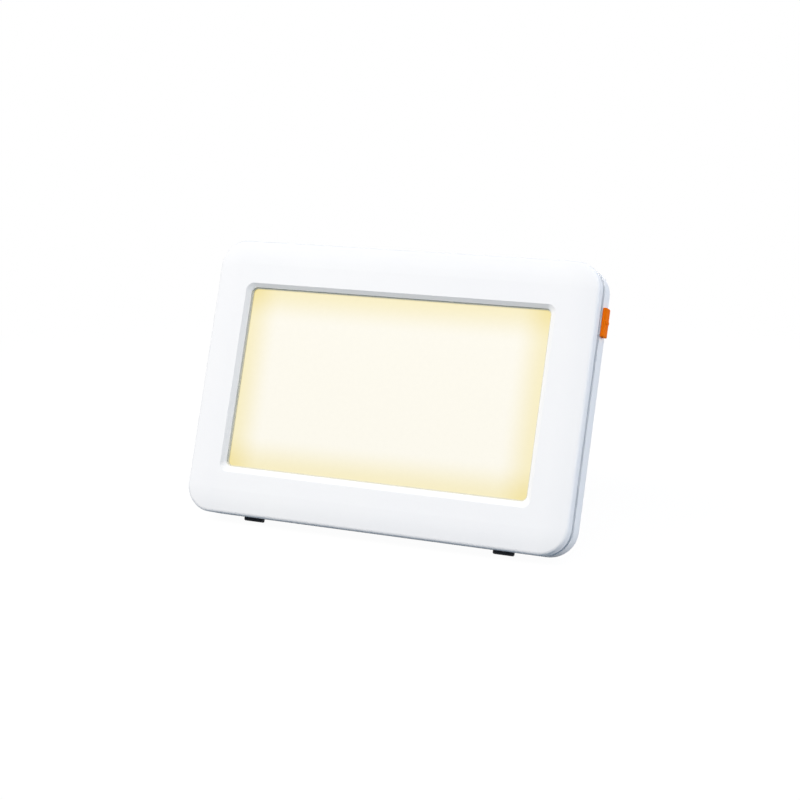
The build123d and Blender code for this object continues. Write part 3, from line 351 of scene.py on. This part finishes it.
WHITE = srgb(247, 247, 248)
WHITE_SHADE = srgb(245, 245, 247)
LEG_WHITE = srgb(244, 245, 248)
LEG_SHADE = srgb(240, 242, 246)
BOX_WHITE = srgb(250, 250, 249)
BOX_SHADE = srgb(246, 246, 245)
FILM_WHITE = srgb(244, 243, 238)
FILM_SHADE = srgb(240, 239, 233)
ORANGE = srgb(255, 124, 10)
ORANGE_SHADE = srgb(252, 120, 8)
BLACK = srgb(26, 26, 27)
BLACK_SHADE = srgb(34, 34, 35)
NYLON = srgb(232, 229, 216)
NYLON_SHADE = srgb(224, 220, 205)
FERRITE = srgb(52, 53, 56)
FERRITE_SHADE = srgb(64, 65, 68)
STEEL = srgb(188, 192, 198)
STEEL_SHADE = srgb(166, 170, 176)
BRASS = srgb(214, 206, 178)
BRASS_SHADE = srgb(196, 186, 156)
ALUMINIUM = srgb(205, 208, 212)
ALUMINIUM_SHADE = srgb(188, 192, 197)
RUBBER = srgb(30, 31, 34)
RUBBER_SHADE = srgb(44, 45, 49)
RED = srgb(170, 28, 22)
RED_SHADE = srgb(150, 24, 20)
BLACK_VINYL = srgb(24, 24, 25)
VINYL_SHADE = srgb(34, 34, 35)
FOAM = srgb(206, 203, 186)
FOAM_SHADE = srgb(226, 223, 208)

# Metal's lines run in the lamp's depth and height, or across it.
LINES_UPRIGHT = (1, 0.1, 0.1)
LINES_ACROSS = (0.1, 1, 1)

white_shell = moulded("white_shell", WHITE, WHITE_SHADE, 0.62, specular=0.25, painted_seam_shade=True)
white_leg = moulded("white_leg", LEG_WHITE, LEG_SHADE, 0.45)
box_white = moulded("reflector_white", BOX_WHITE, BOX_SHADE, 0.6)
orange = moulded("orange_knob", ORANGE, ORANGE_SHADE, 0.6, grain=0.01 * MM, specular=0.04)
black_plastic = moulded("black_plastic", BLACK, BLACK_SHADE, 0.5)
nylon = moulded("natural_nylon", NYLON, NYLON_SHADE, 0.5)
ferrite = moulded("ferrite", FERRITE, FERRITE_SHADE, 0.65, grain=0.04 * MM)
film = moulded("diffusing_film", FILM_WHITE, FILM_SHADE, 0.7)
steel = metal("zinc_steel", STEEL, STEEL_SHADE, 0.32, stretch=LINES_UPRIGHT)
plated = metal("plated_brass", BRASS, BRASS_SHADE, 0.25, stretch=LINES_ACROSS)
can = metal("aluminium_can", ALUMINIUM, ALUMINIUM_SHADE, 0.3, stretch=LINES_ACROSS)
green_board = board("green_board", srgb(18, 84, 46), srgb(26, 98, 56), srgb(34, 112, 66))
white_board = board("white_board", srgb(238, 238, 232), srgb(232, 232, 225), srgb(224, 224, 216))
black_rubber = rubber("black_rubber", RUBBER, RUBBER_SHADE, 0.7)
red_lead = rubber("red_insulation", RED, RED_SHADE, 0.45)
black_lead = rubber("black_insulation", BLACK_VINYL, VINYL_SHADE, 0.45)
pale_foam = foam("pale_foam", FOAM, FOAM_SHADE)

finishes = {
    "front_frame": white_shell,
    "rear_cover": white_shell,
    "window_gasket": pale_foam,
    "diffuser_panel": lit_panel(),
    "diffuser_film": film,
    "reflector_tray": box_white,
    "tray_screws": steel,
    "led_board": white_board,
    "led_packages": led_package(),
    "led_board_screws": steel,
    "driver_board": green_board,
    "driver_board_screws": steel,
    "driver_inductor": ferrite,
    "driver_capacitors": can,
    "driver_chip": black_plastic,
    "driver_diode": black_plastic,
    "driver_connectors": nylon,
    "dc_jack": black_plastic,
    "dc_jack_pin": plated,
    "dc_jack_lugs": plated,
    "dc_jack_nut": steel,
    "switch_board": green_board,
    "switch_body": black_plastic,
    "switch_cover_plate": steel,
    "switch_terminals": plated,
    "switch_actuator": black_plastic,
    "switch_knob": orange,
    "lead_jack_to_switch": red_lead,
    "lead_switch_to_driver": red_lead,
    "lead_jack_to_driver": black_lead,
    "lead_to_leds_plus": red_lead,
    "lead_to_leds_minus": black_lead,
    "rubber_foot_left": black_rubber,
    "rubber_foot_right": black_rubber,
    "rear_cover_screws": steel,
    "stand_leg": white_leg,
    "stand_foot_pad": black_rubber,
    "hinge_pin_left": steel,
    "hinge_pin_right": steel,
    "hinge_washers": nylon,
}
for name, finish in finishes.items():
    mesh = nodes[name].data
    mesh.materials.clear()
    mesh.materials.append(finish)

# ---------------------------------------------------------------- floor

FLOOR_REACH = 6.0
FLOOR_CORNERS = ((-1, -1), (1, -1), (1, 1), (-1, 1))
FLOOR_GREY = (0.195, 0.23, 0.27, 1)  # the floor as the lamp sees it
FLOOR_GREY_SHADE = (0.215, 0.25, 0.29, 1)
SHADOW_NEAR = 0.25  # so far from the lamp, in metres, the shadow is full
SHADOW_FAR = 0.6  # and from here on it is gone
SHADOW_GREY = grey(0.05)
SHADOW_GLOW = 0.965  # the floor's own white where the shadow is full


def white_ground():
    """Pale floor: white to the camera with a faint shadow near the lamp, plain matt to the lamp."""
    made = Shader("ground")
    rays = made.node("ShaderNodeLightPath")
    seen = made.math("MAXIMUM", rays.outputs["Is Camera Ray"], rays.outputs["Is Glossy Ray"])
    seen = made.math("MAXIMUM", seen, rays.outputs["Is Transmission Ray"])
    matt = made.node("ShaderNodeBsdfDiffuse")
    floor_grey = made.mottle(made.noise(scale=8.0), FLOOR_GREY, FLOOR_GREY_SHADE)
    made.link(floor_grey, matt.inputs["Color"])
    away = made.node("ShaderNodeVectorMath", operation="LENGTH")
    made.link(made.place, away.inputs[0])
    distance = away.outputs["Value"]
    far = made.spread(distance, low=0.0, high=1.0, start=SHADOW_NEAR, end=SHADOW_FAR)
    faint = made.node("ShaderNodeBsdfDiffuse")
    made.link(made.tint(far, SHADOW_GREY, grey(0.0)), faint.inputs["Color"])
    glow = made.node("ShaderNodeEmission")
    strength = made.spread(far, low=SHADOW_GLOW, high=1.0, start=0.0, end=1.0)
    made.link(strength, glow.inputs["Strength"])
    both = made.node("ShaderNodeAddShader")
    made.link(faint.outputs[0], both.inputs[0])
    made.link(glow.outputs[0], both.inputs[1])
    choice = made.node("ShaderNodeMixShader")
    made.link(seen, choice.inputs[0])
    made.link(matt.outputs[0], choice.inputs[1])
    made.link(both.outputs[0], choice.inputs[2])
    made.link(choice.outputs[0], made.tree.nodes["Material Output"].inputs["Surface"])
    return made.material


floor_mesh = bpy.data.meshes.new("floor")
floor_mesh.from_pydata(
    [(x * FLOOR_REACH, y * FLOOR_REACH, 0) for x, y in FLOOR_CORNERS],
    [],
    [(0, 1, 2, 3)],
)
floor_mesh.materials.append(white_ground())
floor = bpy.data.objects.new("floor", floor_mesh)
bpy.context.scene.collection.objects.link(floor)

# ---------------------------------------------------------------- world

# The lamp stands in a weak blue, which the warm lights even out; the camera sees plain white.
SKY = (0.2, 0.57, 1.0, 1)
SKY_STRENGTH = 0.31


def white_world():
    """World that lights the lamp with the weak blue and is white to the camera."""
    made = bpy.data.worlds.new("world")
    made.use_nodes = True
    tree = made.node_tree
    sky = tree.nodes["Background"]
    sky.inputs["Color"].default_value = SKY
    sky.inputs["Strength"].default_value = SKY_STRENGTH
    plain = tree.nodes.new("ShaderNodeBackground")
    plain.inputs["Color"].default_value = grey(1.0)
    plain.inputs["Strength"].default_value = 1.0
    rays = tree.nodes.new("ShaderNodeLightPath")
    seen = tree.nodes.new("ShaderNodeMath")
    seen.operation = "MAXIMUM"
    tree.links.new(rays.outputs["Is Camera Ray"], seen.inputs[0])
    tree.links.new(rays.outputs["Is Transmission Ray"], seen.inputs[1])
    choice = tree.nodes.new("ShaderNodeMixShader")
    tree.links.new(seen.outputs[0], choice.inputs[0])
    tree.links.new(sky.outputs[0], choice.inputs[1])
    tree.links.new(plain.outputs[0], choice.inputs[2])
    tree.links.new(choice.outputs[0], tree.nodes["World Output"].inputs["Surface"])
    return made


bpy.context.scene.world = white_world()

# ---------------------------------------------------------------- lights

LAMP_MIDDLE = Vector((0, 0, 0.07))
WARM = (1.0, 0.91, 0.8)
SIDE_WARM = (1.0, 0.965, 0.94)
REAR_WARM = (1.0, 0.83, 0.67)


def area_light(name, place, size, power, colour):
    """A rectangular light that faces the lamp's middle; metres and watts."""
    data = bpy.data.lights.new(name, "AREA")
    data.shape = "RECTANGLE"
    data.size, data.size_y = size
    data.energy = power
    data.color = colour
    light = bpy.data.objects.new(name, data)
    bpy.context.scene.collection.objects.link(light)
    aim = (LAMP_MIDDLE - Vector(place)).to_track_quat("-Z", "Y")
    light.matrix_world = Matrix.Translation(place) @ aim.to_matrix().to_4x4()


area_light("key", place=(-1.76, -2.54, 2.9), size=(1.8, 1.8), power=118.0, colour=WARM)
area_light("fill", place=(0.45, -2.9, 3.05), size=(1.8, 1.8), power=74.0, colour=WARM)
area_light("side", place=(1.33, 0.34, 0.28), size=(0.55, 0.8), power=11.8, colour=SIDE_WARM)
area_light("rear", place=(-0.4, 1.9, 0.45), size=(1.2, 1.0), power=22.0, colour=REAR_WARM)

bpy.context.scene.view_settings.view_transform = "Standard"
